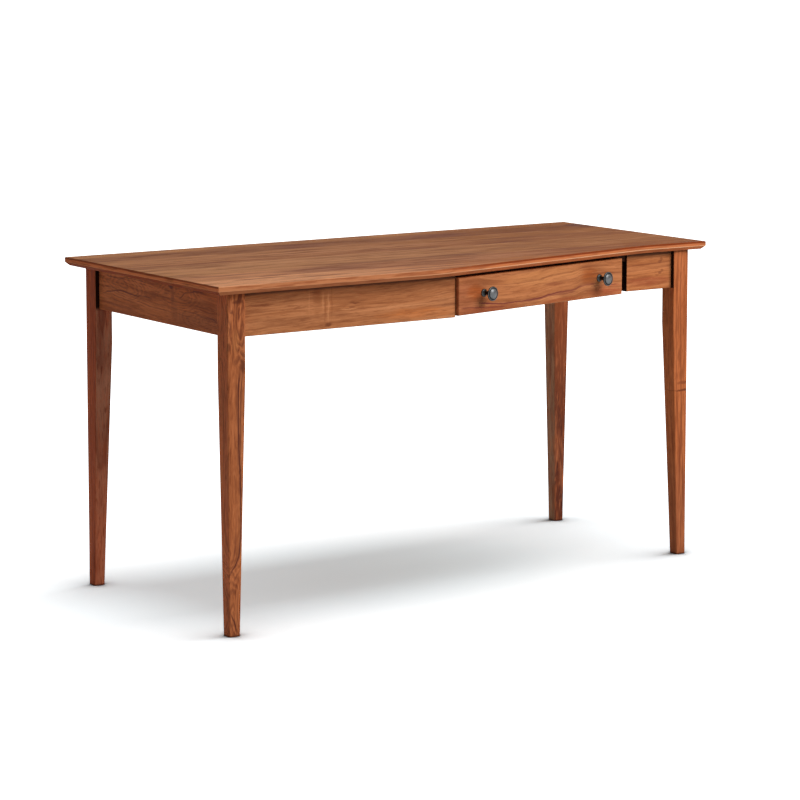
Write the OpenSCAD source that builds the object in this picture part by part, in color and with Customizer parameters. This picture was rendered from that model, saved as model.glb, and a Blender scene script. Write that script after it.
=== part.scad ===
// Writing desk in reddish hardwood: a glued-up top with a bowed front edge, four legs tapered on their
// inner faces, aprons tenoned into the legs, and one drawer whose front follows the bow.
// Millimetres. X runs along the desk to the right, Y towards the back, Z up from the floor.
// The origin is on the floor, under the middle of the top's length and depth.

/* [Top] */
// Length of the top, end to end
top_l = 1432; // [1250:1:1600]
// Depth of the top at its left end
top_d = 686; // [640:1:760]
// Thickness of the top
top_t = 19; // [17:0.5:25]
// Height of the writing surface above the floor
desk_h = 762; // [700:1:800]
// Width and height of the bevel under the edge of the top
under_bevel = 8; // [2:0.5:12]
// Width of the eased arris along the upper edge of the top
upper_arris = 1.2; // [0.4:0.1:3]
// Distance from the left end to the first bend of the front edge
bend_1_x = 570; // [500:1:600]
// Distance from the right end to the second bend of the front edge
bend_2_from_end = 182; // [140:1:210]
// How far back the front edge has gone at the second bend
bend_2_y = 130; // [90:1:135]
// How far back the front edge is at the right end
right_end_y = 123; // [90:1:135]
// Radius of both bends of the front edge
bend_r = 450; // [100:10:600]

/* [Legs] */
// Width of the square leg at the aprons
leg_w = 44; // [41:0.5:56]
// Width of the square leg at the floor
foot_w = 26; // [20:0.5:38]
// Distance from the lower edge of the aprons to the start of the taper
taper_drop = 80; // [20:1:160]
// Width of the eased arrises of the legs
leg_arris = 1.2; // [0.5:0.1:2.5]
// Overhang of the top past the legs at both ends
end_overhang = 37.5; // [20:0.5:50]
// Overhang of the top past the left front leg
front_overhang_left = 27; // [18:0.5:36]
// Overhang of the top past the right front leg
front_overhang_right = 20; // [16:0.5:34]
// Overhang of the top past the back legs
back_overhang = 29; // [15:0.5:45]

/* [Aprons] */
// Thickness of the aprons
apron_t = 19; // [16:0.5:21]
// Distance from the outer face of a leg to the outer face of an apron
reveal = 11; // [6:0.5:12]
// Height of the side, back and left front aprons
apron_h = 97; // [94:0.5:130]
// Height of the short apron at the right of the drawer
short_apron_h = 91.5; // [90:0.5:93.5]
// Width of the eased lower arrises of the aprons
apron_arris = 1.2; // [0.5:0.1:3]
// Thickness of the tenons
tenon_t = 8; // [6:0.5:9]
// Height of the shoulder above a tenon
upper_shoulder = 12; // [8:0.5:20]
// Height of the shoulder below a tenon
lower_shoulder = 8; // [5:0.5:16]

/* [Drawer bay] */
// Distance from the left end of the top to the left side of the drawer opening
bay_left = 635; // [620:1:660]
// Distance from the right end of the top to the right side of the drawer opening
bay_right_from_end = 217; // [205:1:260]
// Thickness of the two rails that run from front to back
rail_t = 19; // [15:0.5:24]
// Depth of the housings that hold the ends of the rails
housing = 6; // [3:0.5:8]
// Width of the flat rail above the drawer
top_rail_w = 70; // [50:1:100]
// Thickness of the flat rail above the drawer
top_rail_t = 19; // [15:0.5:20]
// Height of the guide that stands beside each drawer side
guide_h = 14; // [8:0.5:20]

/* [Drawer] */
// Gap between the left apron and the drawer front
left_gap = 3; // [2:0.5:6]
// Gap between the drawer front and the right apron
right_gap = 30; // [4:1:36]
// Gap between the drawer front and the underside of the top
upper_gap = 8; // [3:0.5:10]
// Height of the drawer front
front_h = 85; // [83:0.5:88]
// Thickness of the drawer front
front_t = 19; // [17:0.5:22]
// Distance from the bowed edge of the top back to the face of the drawer front
face_inset = 15.5; // [12:0.5:20]
// Radius of the rounded arrises of the drawer front
front_round = 2.5; // [1:0.5:5]
// Distance from each end of the drawer front to the drawer side
side_inset = 10; // [6:0.5:16]
// Thickness of the drawer sides and back
side_t = 12; // [11:0.5:15]
// Height of the drawer sides
side_h = 58; // [45:0.5:60]
// Depth of the housings in the drawer front that hold the sides
side_housing = 8; // [4:0.5:9]
// Thickness of the drawer bottom
bottom_t = 6; // [4:0.5:8]
// Space between the back of the drawer and the back apron
rear_space = 38; // [20:1:80]

/* [Knobs] */
// Diameter of the head of a knob
knob_d = 33; // [28:0.5:40]
// Distance that a knob stands out from the drawer front
knob_reach = 33; // [30:0.5:38]
// Distance from each end of the drawer front to the middle of a knob
knob_inset = 82; // [50:1:150]
// Height of the knobs above the lower edge of the drawer front
knob_rise = 45.5; // [36:0.5:50]

/* [Hidden] */
$fn = 64;

// Clearances: a glued joint, a tenon's end, and the drawer against its runner, its guides and its rail
glue_gap = 0.1;
tenon_end_gap = 0.5;
runner_gap = 0.3;
guide_gap = 1;
closed_gap = 0.5;
kicker_gap = 2;

// Wood left between the two mortises of a leg, and how far a cutter runs past the face it cuts
mortise_web = 1;
over = 1;

// Finishes
walnut = [0.55, 0.33, 0.2];
cherry = [0.66, 0.41, 0.26];
pale_board = [0.72, 0.5, 0.36];
dark_leg = [0.42, 0.24, 0.15];
inner_wood = [0.74, 0.6, 0.43];
pewter = [0.33, 0.34, 0.34];
steel = [0.62, 0.62, 0.6];

// Heights
under_z = desk_h - top_t;
apron_z = under_z - apron_h;
taper_z = apron_z - taper_drop;
rail_z = under_z - short_apron_h;
front_z = under_z - upper_gap - front_h;
top_rail_z = under_z - top_rail_t;
side_z = top_rail_z - kicker_gap - side_h;
ledge_z = side_z - runner_gap;
groove_z = side_z + 6;
bottom_z = groove_z + glue_gap;
back_z = bottom_z + bottom_t;

// Places in plan, measured from the left end and the front edge of the top
bend_2_x = top_l - bend_2_from_end;
bay_right = top_l - bay_right_from_end;
leg_left_x = end_overhang;
leg_right_x = top_l - end_overhang;
leg_back_y = top_d - back_overhang;
leg_front_left_y = front_overhang_left;
leg_front_right_y = right_end_y + front_overhang_right;
apron_left_face_y = leg_front_left_y + reveal;
apron_right_face_y = leg_front_right_y + reveal;
apron_back_face_y = leg_back_y - reveal;
back_inner_y = apron_back_face_y - apron_t;
tenon_inset = reveal + (apron_t - tenon_t) / 2;
mortise_floor = tenon_inset + tenon_t + mortise_web;
tenon_l = leg_w - mortise_floor - tenon_end_gap;

// The drawer front runs parallel to the slanting part of the front edge
slant = atan(bend_2_y / (bend_2_x - bend_1_x));
function slant_y(x, inset) = (x - bend_1_x) * tan(slant) + inset / cos(slant);
face_back = face_inset + front_t;
front_left_x = bay_left + left_gap;
front_right_x = bay_right - right_gap;
side_left_x = front_left_x + side_inset;
side_right_x = front_right_x - side_inset;
drawer_rear_y = back_inner_y - rear_space;
panel_depth = side_t / 2 - 0.5;

// Relative widths of the boards of the top, front to back, which share its depth
board_share = [104, 92, 74, 95, 92, 80, 94, 55];
board_tint = [pale_board, walnut, cherry, walnut, cherry, walnut, walnut, cherry];

// Wooden buttons that hold the top to the aprons: the slot in the apron, and the button itself
slot_drop = 10;
slot_h = 10;
slot_w = 30;
slot_depth = 8;
button_w = 25;
button_l = 34;
tongue_l = 7;
tongue_t = 9;
button_t = slot_drop + tongue_t;

// Screws: shank and head radii, length, and the play around a shank
screw_r = 2;
screw_head_r = 4;
screw_head_h = 2.4;
screw_play = 0.1;
button_screw_l = 30;
rail_screw_l = 45;
runner_screw_l = 20;
bottom_screw_l = 20;

function total(list, count) = count == 0 ? 0 : list[count - 1] + total(list, count - 1);
function board_y(i) = top_d * total(board_share, i) / total(board_share, len(board_share));
function unit(v) = v / norm(v);

// Points of an arc that rounds the corner at p, between a and b, drawn with radius r
function bend(a, p, b, r, steps) =
    let(from = atan2(p.y - a.y, p.x - a.x),
        to = atan2(b.y - p.y, b.x - p.x),
        side = sign(to - from),
        start = p - unit(p - a) * r * tan(abs(to - from) / 2))
    [for (i = [0:steps])
        let(h = from + (to - from) * i / steps)
        start + side * r * [sin(h) - sin(from), cos(from) - cos(h)]];

bend_1 = [bend_1_x, 0];
bend_2 = [bend_2_x, bend_2_y];
front_left_corner = [0, 0];
front_right_corner = [top_l, right_end_y];
top_outline = concat(
    [front_left_corner],
    bend(front_left_corner, bend_1, bend_2, bend_r, 6),
    bend(bend_1, bend_2, front_right_corner, bend_r, 6),
    [front_right_corner, [top_l, top_d], [0, top_d]]);

// Places of the buttons: the point on the inner face of an apron, and the way the button faces
function between(a, b, share) = a + (b - a) * share;
side_apron_x = leg_left_x + reveal + apron_t;
button_places = concat(
    [for (s = [1 / 6, 1 / 2, 5 / 6])
        [between(leg_left_x + leg_w, leg_right_x - leg_w, s), back_inner_y, 180]],
    [for (s = [1 / 4, 3 / 4])
        [between(leg_left_x + leg_w, bay_left - rail_t, s), apron_left_face_y + apron_t, 0]],
    [[between(bay_right + rail_t, leg_right_x - leg_w, 1 / 2), apron_right_face_y + apron_t, 0]],
    [for (s = [1 / 4, 3 / 4])
        [side_apron_x, between(leg_front_left_y + leg_w, leg_back_y - leg_w, s), -90]],
    [for (s = [1 / 4, 3 / 4])
        [top_l - side_apron_x, between(leg_front_right_y + leg_w, leg_back_y - leg_w, s), 90]]);

// Everything is drawn from the top's front left corner and moved here to the desk's own origin
module in_frame() {
    translate([-top_l / 2, -top_d / 2, 0]) children();
}

// A countersunk screw that points along +Z with its head's flat face at the origin
module screw(length) {
    cylinder(h = screw_head_h, r1 = screw_head_r, r2 = screw_r);
    translate([0, 0, screw_head_h / 2]) cylinder(h = length - screw_head_h / 2, r = screw_r);
}

// The hole that such a screw sits in
module screw_hole(length) {
    cylinder(h = screw_head_h, r1 = screw_head_r + screw_play, r2 = screw_r + screw_play);
    translate([0, 0, -over]) cylinder(h = over, r = screw_head_r + screw_play);
    translate([0, 0, screw_head_h / 2]) cylinder(h = length + screw_play, r = screw_r + screw_play);
}

// Sections of what the edge of the top loses, as distance in from the edge and height
bevel_section = [
    [-over, under_z - over], [under_bevel + over, under_z - over], [-over, under_z + under_bevel + over]];
arris_section = [
    [-over, desk_h + over], [upper_arris + over, desk_h + over], [-over, desk_h - upper_arris - over]];

function left_of(v) = [-v.y, v.x];
function corner(i) = top_outline[(i + len(top_outline)) % len(top_outline)];
function along(i) = unit(corner(i + 1) - corner(i));

// Where the cut along one edge ends, at depth d: past a convex corner, or on the mitre of a hollow one
function cut_end(i, edge, way, d) =
    let(before = along(i - 1), after = along(i), hollow = cross(before, after) < 0,
        mitre = (left_of(before) + left_of(after)) / (1 + before * after))
    corner(i) + (hollow ? mitre * d : left_of(edge) * d + way * 2 * over * edge);

// Cuts one section away along every edge of the top that comes within the given depths
module edge_cuts(section, from_y, to_y) {
    deep = under_bevel + 2 * over;
    for (i = [0:len(top_outline) - 1]) {
        a = corner(i);
        b = corner(i + 1);
        d = along(i);
        if (max(a.y, b.y) + deep > from_y && min(a.y, b.y) - deep < to_y) intersection() {
            translate([0, 0, under_z - 2 * over]) linear_extrude(height = top_t + 4 * over) polygon([
                cut_end(i, d, -1, -2 * over), cut_end(i + 1, d, 1, -2 * over),
                cut_end(i + 1, d, 1, deep), cut_end(i, d, -1, deep)]);
            translate(a) rotate([90, 0, atan2(d.y, d.x) + 90]) translate([0, 0, -3 * over])
                linear_extrude(height = norm(b - a) + 6 * over) polygon(section);
        }
    }
}

// One board of the top, with the pilot holes of the screws that reach it
module top_board(i) {
    color(board_tint[i]) in_frame() difference() {
        translate([0, 0, under_z]) linear_extrude(height = top_t) intersection() {
            polygon(top_outline);
            translate([-over, board_y(i)]) square([top_l + 2 * over, board_y(i + 1) - board_y(i)]);
        }
        edge_cuts(bevel_section, board_y(i), board_y(i + 1));
        edge_cuts(arris_section, board_y(i), board_y(i + 1));
        for (p = button_places) at_button(p)
            translate([0, button_l / 2, -button_t]) screw_hole(button_screw_l);
    }
}

// Puts a child where a button sits: X along the apron, Y away from it, Z up from the underside of the top
module at_button(p) {
    translate([p.x, p.y, under_z]) rotate([0, 0, p[2]]) children();
}

module top_buttons() {
    color(inner_wood) in_frame() for (p = button_places) at_button(p) difference() {
        union() {
            translate([-button_w / 2, glue_gap, -button_t]) cube([button_w, button_l, button_t]);
            translate([-button_w / 2, -tongue_l, -button_t]) cube([button_w, tongue_l + over, tongue_t]);
        }
        translate([0, button_l / 2, -button_t]) screw_hole(button_screw_l);
    }
}

module top_button_screws() {
    color(steel) in_frame() for (p = button_places) at_button(p)
        translate([0, button_l / 2, -button_t]) screw(button_screw_l);
}

// The slots in the aprons that take the buttons' tongues
module button_slots() {
    for (p = button_places) at_button(p)
        translate([-slot_w / 2, -slot_depth, -slot_drop - slot_h]) cube([slot_w, slot_depth + over, slot_h]);
}

// Side view of a leg: plumb on its outer side, tapered on its inner side below the aprons
function leg_profile(trim) = [
    [trim, 0], [foot_w - trim, 0], [leg_w - trim, taper_z], [leg_w - trim, under_z], [trim, under_z]];

// Diagonal views of a leg, which ease its four arrises
function corner_profile(trim) = [
    [trim, 0], [2 * foot_w - trim, 0], [2 * leg_w - trim, taper_z],
    [2 * leg_w - trim, under_z], [trim, under_z]] / sqrt(2);
function cheek_profile(trim) = [
    [trim - foot_w, 0], [foot_w - trim, 0], [leg_w - trim, taper_z],
    [leg_w - trim, under_z], [trim - leg_w, under_z], [trim - leg_w, taper_z]] / sqrt(2);

// A flat outline in X and Z, drawn out to both sides along Y
module upright(points) {
    rotate([90, 0, 0]) linear_extrude(height = 4 * leg_w, center = true) polygon(points);
}

// Takes a profile's heights back to full size after the division by the square root of two
function full_height(points) = [for (p = points) [p.x, p.y * sqrt(2)]];

// The mortise for an apron of height h, entered from the leg's inner side along X
module mortise(h) {
    translate([mortise_floor, tenon_inset - glue_gap, under_z - h + lower_shoulder - glue_gap])
        cube([leg_w, tenon_t + 2 * glue_gap, h - lower_shoulder - upper_shoulder + 2 * glue_gap]);
}

// A leg with its outer corner at the origin; along_h is the height of the apron that leaves it along X
module leg(along_h) {
    difference() {
        intersection() {
            upright(leg_profile(0));
            mirror([1, -1, 0]) upright(leg_profile(0));
            rotate([0, 0, 45]) upright(full_height(corner_profile(leg_arris)));
            rotate([0, 0, -45]) upright(full_height(cheek_profile(leg_arris)));
        }
        mortise(along_h);
        mirror([1, -1, 0]) mortise(apron_h);
    }
}

module leg_front_left() {
    color(dark_leg) in_frame() translate([leg_left_x, leg_front_left_y, 0]) leg(apron_h);
}

module leg_front_right() {
    color(cherry) in_frame() translate([leg_right_x, leg_front_right_y, 0]) mirror([1, 0, 0]) leg(short_apron_h);
}

module leg_back_left() {
    color(dark_leg) in_frame() translate([leg_left_x, leg_back_y, 0]) mirror([0, 1, 0]) leg(apron_h);
}

module leg_back_right() {
    color(dark_leg) in_frame() translate([leg_right_x, leg_back_y, 0]) rotate([0, 0, 180]) leg(apron_h);
}

// A board on edge along X, its outer face towards -Y and its upper edge under the top, with eased lower arrises
module apron_board(length, h) {
    e = apron_arris;
    translate([0, 0, under_z]) rotate([90, 0, 90]) linear_extrude(height = length) polygon([
        [0, e - h], [e, -h], [apron_t - e, -h], [apron_t, e - h], [apron_t, 0], [0, 0]]);
}

// A tenon on an apron of height h, from its shoulder towards +X
module tenon(h) {
    translate([-over, (apron_t - tenon_t) / 2, under_z - h + lower_shoulder])
        cube([tenon_l + over, tenon_t, h - lower_shoulder - upper_shoulder]);
}

// An apron that is tenoned at both ends
module tenoned_apron(length) {
    apron_board(length, apron_h);
    translate([length, 0, 0]) tenon(apron_h);
    mirror([1, 0, 0]) tenon(apron_h);
}

module apron_left() {
    color(dark_leg) in_frame() difference() {
        translate([leg_left_x + reveal, leg_back_y - leg_w, 0]) rotate([0, 0, -90])
            tenoned_apron(leg_back_y - leg_front_left_y - 2 * leg_w);
        button_slots();
    }
}

module apron_right() {
    color(cherry) in_frame() difference() {
        translate([leg_right_x - reveal, leg_front_right_y + leg_w, 0]) rotate([0, 0, 90])
            tenoned_apron(leg_back_y - leg_front_right_y - 2 * leg_w);
        button_slots();
    }
}

// The two rails' places: the low side of each along X
rail_xs = [bay_left - rail_t, bay_right];

module apron_back() {
    color(cherry) in_frame() difference() {
        translate([leg_right_x - leg_w, apron_back_face_y, 0]) rotate([0, 0, 180])
            tenoned_apron(leg_right_x - leg_left_x - 2 * leg_w);
        button_slots();
        for (x = rail_xs)
            translate([x - glue_gap, back_inner_y - over, rail_z - glue_gap])
                cube([rail_t + 2 * glue_gap, housing + over, short_apron_h + over]);
    }
}

// The rebate at an apron's inner end that takes a rail, with the rail's low side at x
module rail_rebate(x, apron_face_y) {
    translate([x - glue_gap, apron_face_y + apron_t - housing, apron_z - over])
        cube([rail_t + 2 * glue_gap, housing + over, apron_h + 2 * over]);
}

module apron_front_left() {
    length = bay_left - leg_left_x - leg_w;
    color(cherry) in_frame() difference() {
        translate([leg_left_x + leg_w, apron_left_face_y, 0]) {
            apron_board(length, apron_h);
            mirror([1, 0, 0]) tenon(apron_h);
        }
        rail_rebate(rail_xs[0], apron_left_face_y);
        button_slots();
    }
}

module apron_front_right() {
    length = leg_right_x - leg_w - bay_right;
    color(cherry) in_frame() difference() {
        translate([bay_right, apron_right_face_y, 0]) {
            apron_board(length, short_apron_h);
            translate([length, 0, 0]) tenon(short_apron_h);
        }
        rail_rebate(rail_xs[1], apron_right_face_y);
        button_slots();
    }
}

// The screws that hold the flat rail: their places along the rail's end, as shares of its width
rail_screw_shares = [0.3, 0.75];
module at_rail_screws(x) {
    for (s = rail_screw_shares)
        translate([x, slant_y(x, face_back + closed_gap + top_rail_w * s), top_rail_z + top_rail_t / 2])
            children();
}
module rail_screws_in_place(hole) {
    at_rail_screws(rail_xs[0]) rotate([0, 90, 0]) one_screw(rail_screw_l, hole);
    at_rail_screws(rail_xs[1] + rail_t) rotate([0, -90, 0]) one_screw(rail_screw_l, hole);
}
module one_screw(length, hole) {
    if (hole) screw_hole(length);
    else screw(length);
}

// A rail from front to back, beside the drawer
module bay_rail(x, apron_face_y) {
    front_y = apron_face_y + apron_t - housing + glue_gap;
    color(inner_wood) in_frame() difference() {
        translate([x, front_y, rail_z]) cube([rail_t, back_inner_y + housing - glue_gap - front_y, short_apron_h]);
        rail_screws_in_place(true);
        runner_screws_in_place(true);
    }
}

module bay_rail_left() {
    bay_rail(rail_xs[0], apron_left_face_y);
}

module bay_rail_right() {
    bay_rail(rail_xs[1], apron_right_face_y);
}

module bay_rail_screws() {
    color(steel) in_frame() rail_screws_in_place(false);
}

// A strip in plan between two x places, whose long edges run parallel to the drawer front
module slanted_strip(x1, x2, near, far) {
    polygon([
        [x1, slant_y(x1, near)], [x2, slant_y(x2, near)],
        [x2, slant_y(x2, far)], [x1, slant_y(x1, far)]]);
}

// The flat rail under the top, which the closed drawer front stops against
module drawer_top_rail() {
    near = face_back + closed_gap;
    color(inner_wood) in_frame() difference() {
        translate([0, 0, top_rail_z]) linear_extrude(height = top_rail_t)
            slanted_strip(bay_left, bay_right, near, near + top_rail_w);
        rail_screws_in_place(true);
    }
}

// A runner's section: a ledge under the drawer side, and a guide beside it as wide as the gap to the rail
module runner_section(guide_w) {
    ledge_w = guide_w + guide_gap + side_t;
    polygon([
        [0, rail_z], [ledge_w, rail_z], [ledge_w, ledge_z], [guide_w, ledge_z],
        [guide_w, ledge_z + guide_h], [0, ledge_z + guide_h]]);
}

// A runner as long as the bay from the apron to the back apron, drawn from its rail towards +X
module runner(guide_w, front_y) {
    translate([0, back_inner_y, 0]) rotate([90, 0, 0]) linear_extrude(height = back_inner_y - front_y)
        runner_section(guide_w);
}

guide_left_w = side_left_x - guide_gap - bay_left;
guide_right_w = bay_right - side_right_x - guide_gap;
runner_screw_ys = [for (s = [0.12, 0.5, 0.88])
    between(apron_right_face_y + apron_t, back_inner_y, s)];
module runner_screws_in_place(hole) {
    z = (rail_z + ledge_z + guide_h) / 2;
    for (y = runner_screw_ys) {
        translate([rail_xs[0], y, z]) rotate([0, 90, 0]) one_screw(rail_t + guide_left_w - 3, hole);
        translate([rail_xs[1] + rail_t, y, z]) rotate([0, -90, 0]) one_screw(rail_t + runner_screw_l, hole);
    }
}

module drawer_runner_left() {
    color(inner_wood) in_frame() difference() {
        translate([bay_left, 0, 0]) runner(guide_left_w, apron_left_face_y + apron_t);
        runner_screws_in_place(true);
    }
}

module drawer_runner_right() {
    color(inner_wood) in_frame() difference() {
        translate([bay_right, 0, 0]) mirror([1, 0, 0]) runner(guide_right_w, apron_right_face_y + apron_t);
        runner_screws_in_place(true);
    }
}

module runner_screws() {
    color(steel) in_frame() runner_screws_in_place(false);
}

// Corner points of a quarter round of radius r about c, from one angle to another
function quarter(c, r, from, to) = [for (i = [0:4])
    let(a = from + (to - from) * i / 4) c + r * [cos(a), sin(a)]];

// Section of the drawer front: depth from its face, and height
function front_section() = let(r = front_round) concat(
    quarter([r, r], r, 180, 270), [[front_t, 0], [front_t, front_h]], quarter([r, front_h - r], r, 90, 180));

// Plan of the drawer front: ends parallel to the slide, face parallel to the bow, rounded at its two arrises
front_plan = let(
        left = [front_left_x, slant_y(front_left_x, face_inset)],
        right = [front_right_x, slant_y(front_right_x, face_inset)],
        deep = [0, front_t / cos(slant)])
    concat(
        bend(left + deep, left, right, front_round, 4),
        bend(left, right, right + deep, front_round, 4),
        [right + deep, left + deep]);

// Puts a child on the face of the drawer front: X along it from its left end, Y into the wood, Z up
module on_face() {
    translate([front_left_x, slant_y(front_left_x, face_inset), front_z]) rotate([0, 0, slant]) children();
}

front_l = (front_right_x - front_left_x) / cos(slant);
knob_us = [knob_inset, front_l - knob_inset];
module at_knob(i) {
    on_face() translate([knob_us[i], 0, knob_rise]) rotate([90, 0, 0]) children();
}

// A drawer side: from its housing in the front to the back of the drawer, with play taken off all round
module side_board(x, play) {
    translate([0, 0, side_z - play]) linear_extrude(height = side_h + 2 * play) polygon([
        [x - play, slant_y(x - play, face_back - side_housing - play)],
        [x + side_t + play, slant_y(x + side_t + play, face_back - side_housing - play)],
        [x + side_t + play, drawer_rear_y],
        [x - play, drawer_rear_y]]);
}

// The drawer bottom: it lies in grooves in the front and the sides, and runs out under the drawer back
module bottom_board(play) {
    x1 = side_left_x + side_t - panel_depth - play;
    x2 = side_right_x - side_t + panel_depth + play;
    near = face_back - panel_depth - play;
    translate([0, 0, bottom_z - play]) linear_extrude(height = bottom_t + 2 * play) polygon([
        [x1, slant_y(x1, near)], [x2, slant_y(x2, near)],
        [x2, drawer_rear_y + play], [x1, drawer_rear_y + play]]);
}

// The drawer back, housed in both sides and resting on the bottom
module back_board(play) {
    x1 = side_left_x + side_t - panel_depth - play;
    x2 = side_right_x - side_t + panel_depth + play;
    translate([x1, drawer_rear_y - side_t - play, back_z - play])
        cube([x2 - x1, side_t + 2 * play, side_z + side_h - back_z + 2 * play]);
}

module drawer_front() {
    color(cherry) in_frame() difference() {
        intersection() {
            translate([0, 0, front_z - over]) linear_extrude(height = front_h + 2 * over) polygon(front_plan);
            on_face() translate([-front_t, 0, 0]) rotate([90, 0, 90])
                linear_extrude(height = front_l + 2 * front_t) polygon(front_section());
        }
        side_board(side_left_x, glue_gap);
        side_board(side_right_x - side_t, glue_gap);
        bottom_board(glue_gap);
        for (i = [0, 1]) at_knob(i)
            translate([0, 0, -front_t - over]) cylinder(h = front_t + 2 * over, r = screw_r + screw_play);
    }
}

module drawer_side(x) {
    color(inner_wood) in_frame() difference() {
        side_board(x, 0);
        bottom_board(glue_gap);
        back_board(glue_gap);
    }
}

module drawer_side_left() {
    drawer_side(side_left_x);
}

module drawer_side_right() {
    drawer_side(side_right_x - side_t);
}

bottom_screw_xs = [for (s = [0.15, 0.5, 0.85]) between(side_left_x + side_t, side_right_x - side_t, s)];
module bottom_screws_in_place(hole) {
    for (x = bottom_screw_xs)
        translate([x, drawer_rear_y - side_t / 2, bottom_z]) one_screw(bottom_screw_l, hole);
}

module drawer_back() {
    color(inner_wood) in_frame() difference() {
        back_board(0);
        bottom_screws_in_place(true);
    }
}

module drawer_bottom() {
    color(inner_wood) in_frame() difference() {
        bottom_board(0);
        bottom_screws_in_place(true);
    }
}

module drawer_bottom_screws() {
    color(steel) in_frame() bottom_screws_in_place(false);
}

// Half section of a knob, turned about its axis: base flange, neck, dished head, rim, groove and dome
knob_r = knob_d / 2;
knob_base_r = 9;
knob_neck_r = 4.4;
knob_bore = 12;
dome_r = knob_r - 4;
dome_h = 4;
knob_section = let(
        rim_z = knob_reach - dome_h,
        dome_ball = (dome_r * dome_r + dome_h * dome_h) / (2 * dome_h),
        dome_end = asin(dome_r / dome_ball))
    concat(
        [[0, 0], [knob_base_r, 0], [knob_base_r, 1.6], [knob_base_r - 1, 3], [knob_neck_r + 1.4, 4.6]],
        [[knob_neck_r, 7], [knob_neck_r, rim_z - 10], [knob_neck_r + 1.4, rim_z - 8]],
        [[dome_r - 3, rim_z - 5.2], [knob_r - 1.4, rim_z - 3.6]],
        quarter([knob_r - 1.8, rim_z - 1.8], 1.8, -60, 90),
        [[dome_r + 1.2, rim_z - 0.5], [dome_r + 0.6, rim_z - 1], [dome_r, rim_z]],
        [for (i = [5:-1:0])
            let(a = dome_end * i / 6) [dome_ball * sin(a), knob_reach - dome_ball * (1 - cos(a))]]);

module knob(i) {
    color(pewter) in_frame() at_knob(i) difference() {
        rotate_extrude() polygon(knob_section);
        translate([0, 0, -over]) cylinder(h = knob_bore + over, r = screw_r + screw_play / 2);
    }
}

module knob_left() {
    knob(0);
}

module knob_right() {
    knob(1);
}

// Pan-headed screws that hold the knobs from inside the drawer
module knob_screws() {
    color(steel) in_frame() for (i = [0, 1]) at_knob(i) translate([0, 0, -front_t]) {
        cylinder(h = front_t + knob_bore - over, r = screw_r);
        translate([0, 0, -screw_head_h]) cylinder(h = screw_head_h, r = screw_head_r);
    }
}

top_board(0);  // top_board_1
top_board(1);  // top_board_2
top_board(2);  // top_board_3
top_board(3);  // top_board_4
top_board(4);  // top_board_5
top_board(5);  // top_board_6
top_board(6);  // top_board_7
top_board(7);  // top_board_8
leg_front_left();
leg_front_right();
leg_back_left();
leg_back_right();
apron_left();
apron_right();
apron_back();
apron_front_left();
apron_front_right();
bay_rail_left();
bay_rail_right();
drawer_top_rail();
bay_rail_screws();
drawer_runner_left();
drawer_runner_right();
runner_screws();
top_buttons();
top_button_screws();
drawer_front();
drawer_side_left();
drawer_side_right();
drawer_back();
drawer_bottom();
drawer_bottom_screws();
knob_left();
knob_right();
knob_screws();
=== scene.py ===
# A writing desk in reddish hardwood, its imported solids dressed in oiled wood, pewter and plated steel.
# Metres, in the frame of the solids: X runs along the desk to the right, Y to its back, Z up from the floor.
import math
import bpy
import bmesh
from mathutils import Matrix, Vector


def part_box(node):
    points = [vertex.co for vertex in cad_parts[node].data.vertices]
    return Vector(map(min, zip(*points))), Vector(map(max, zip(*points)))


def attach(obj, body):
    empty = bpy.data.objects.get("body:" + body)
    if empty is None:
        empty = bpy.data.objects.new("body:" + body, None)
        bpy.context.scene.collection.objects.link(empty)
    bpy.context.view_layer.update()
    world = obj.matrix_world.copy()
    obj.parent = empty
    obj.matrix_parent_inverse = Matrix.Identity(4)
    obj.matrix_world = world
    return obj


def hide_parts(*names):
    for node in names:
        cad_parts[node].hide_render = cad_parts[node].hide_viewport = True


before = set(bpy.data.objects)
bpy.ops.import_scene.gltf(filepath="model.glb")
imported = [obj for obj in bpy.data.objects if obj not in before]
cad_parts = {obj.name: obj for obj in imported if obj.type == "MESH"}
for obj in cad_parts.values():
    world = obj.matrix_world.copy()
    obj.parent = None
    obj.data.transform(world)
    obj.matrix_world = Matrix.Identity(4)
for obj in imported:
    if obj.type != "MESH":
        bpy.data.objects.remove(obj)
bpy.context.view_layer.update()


# The top is eight boards of uneven width from several trees, glued edge to edge with their grain along the
# desk and planed flush. Each has its own tone and patches of heartwood. The edge is bevelled beneath and
# eased above, and the whole has a thin satin oil finish.
class Wire:
    """A value that runs between shader nodes. A sum written on it adds its Math nodes."""

    def __init__(self, finish, socket):
        self.finish = finish
        self.socket = socket

    def math(self, operation, *values):
        return self.finish.node("Math", {"operation": operation}, dict(enumerate(values)))

    def __add__(self, other):
        return self.math("ADD", self, other)

    def __radd__(self, other):
        return self.math("ADD", other, self)

    def __sub__(self, other):
        return self.math("SUBTRACT", self, other)

    def __rsub__(self, other):
        return self.math("SUBTRACT", other, self)

    def __mul__(self, other):
        return self.math("MULTIPLY", self, other)

    def __rmul__(self, other):
        return self.math("MULTIPLY", other, self)

    def __truediv__(self, other):
        return self.math("DIVIDE", self, other)

    def __rtruediv__(self, other):
        return self.math("DIVIDE", other, self)

    def __pow__(self, other):
        return self.math("POWER", self, other)

    def __rpow__(self, other):
        return self.math("POWER", other, self)

    def __abs__(self):
        return self.math("ABSOLUTE", self)

    def fraction(self):
        """What is left of it after its whole number."""
        return self.math("FRACT", self)


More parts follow.
